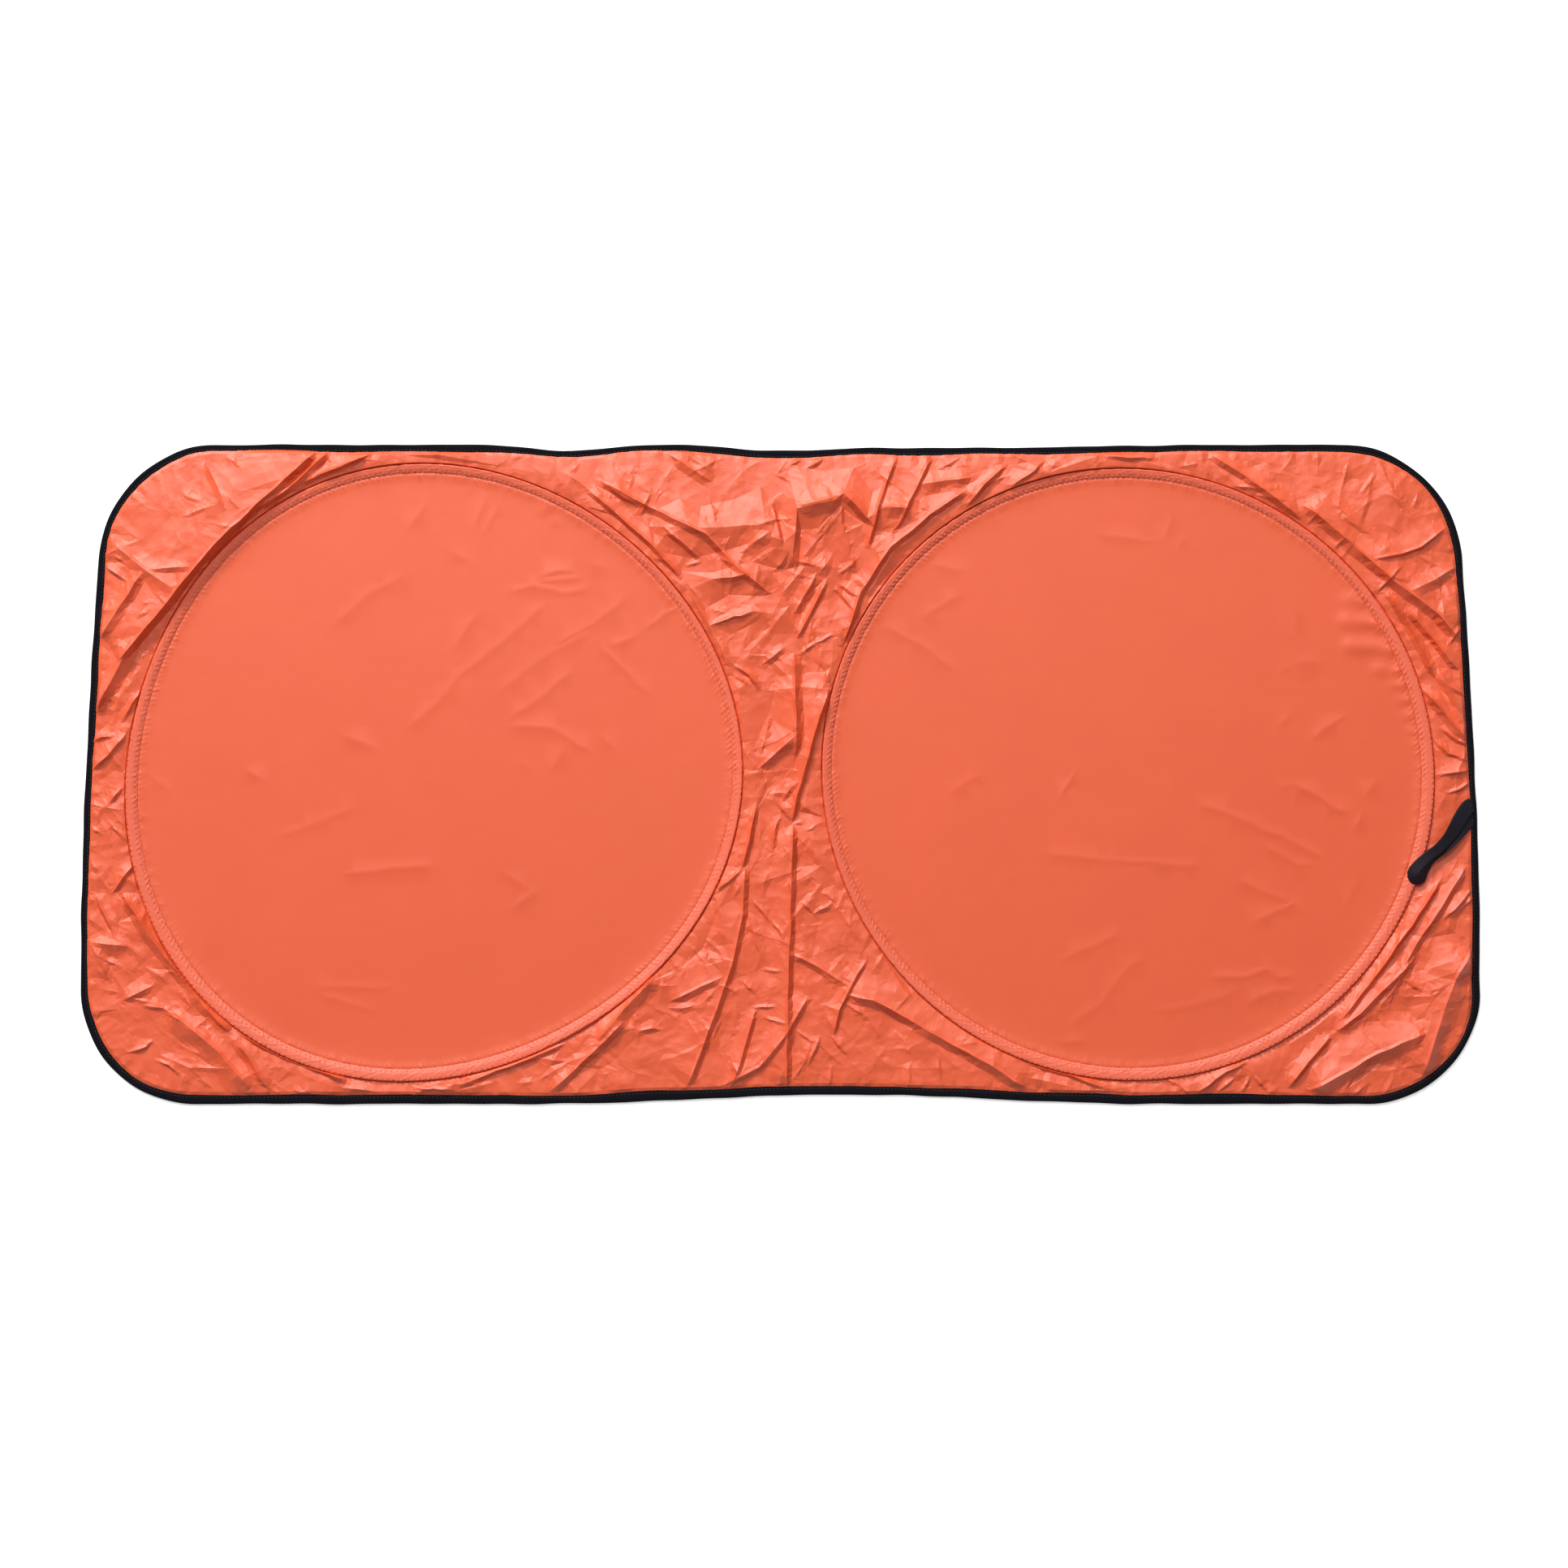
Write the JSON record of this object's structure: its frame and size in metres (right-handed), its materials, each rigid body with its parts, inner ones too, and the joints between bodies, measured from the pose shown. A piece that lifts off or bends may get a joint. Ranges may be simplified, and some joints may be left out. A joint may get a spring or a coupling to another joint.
{
  "type": "folding windscreen sunshade",
  "caption": "Rectangular windscreen sunshade of coated orange cloth with round sewn-in spring hoops side by side, black bound edge and an elastic storage strap.",
  "frame": {"origin": "middle of the shade's footprint, on the surface that it lies on", "axes": "+X along the long side, towards the side that carries the storage strap; +Y along the short side, towards the edge that goes at the top of the windscreen; +Z out of the orange face, away from the surface that it lies on"},
  "size_m": [1.5, 0.707, 0.0143],
  "materials": {
    "orange_cloth": "thin coated polyester taffeta, soft satin sheen, crumpled in the margins; silver coating on the back",
    "casing_cloth": "strip of the same cloth cut on the bias, puckered along its seams",
    "binding_tape": "black woven polyester binding tape, matt",
    "strap_elastic": "black knitted elastic, matt with lengthwise ribs",
    "spring_steel": "bright drawn spring wire"
  },
  "bodies": {
    "root": {"shade_panel": "orange_cloth", "edge_binding": "binding_tape", "left_hoop_casing": "casing_cloth", "right_hoop_casing": "casing_cloth", "left_hoop": "spring_steel", "right_hoop": "spring_steel", "left_hoop_sleeve": "spring_steel", "right_hoop_sleeve": "spring_steel", "storage_strap": "strap_elastic"}
  },
  "joints": []
}
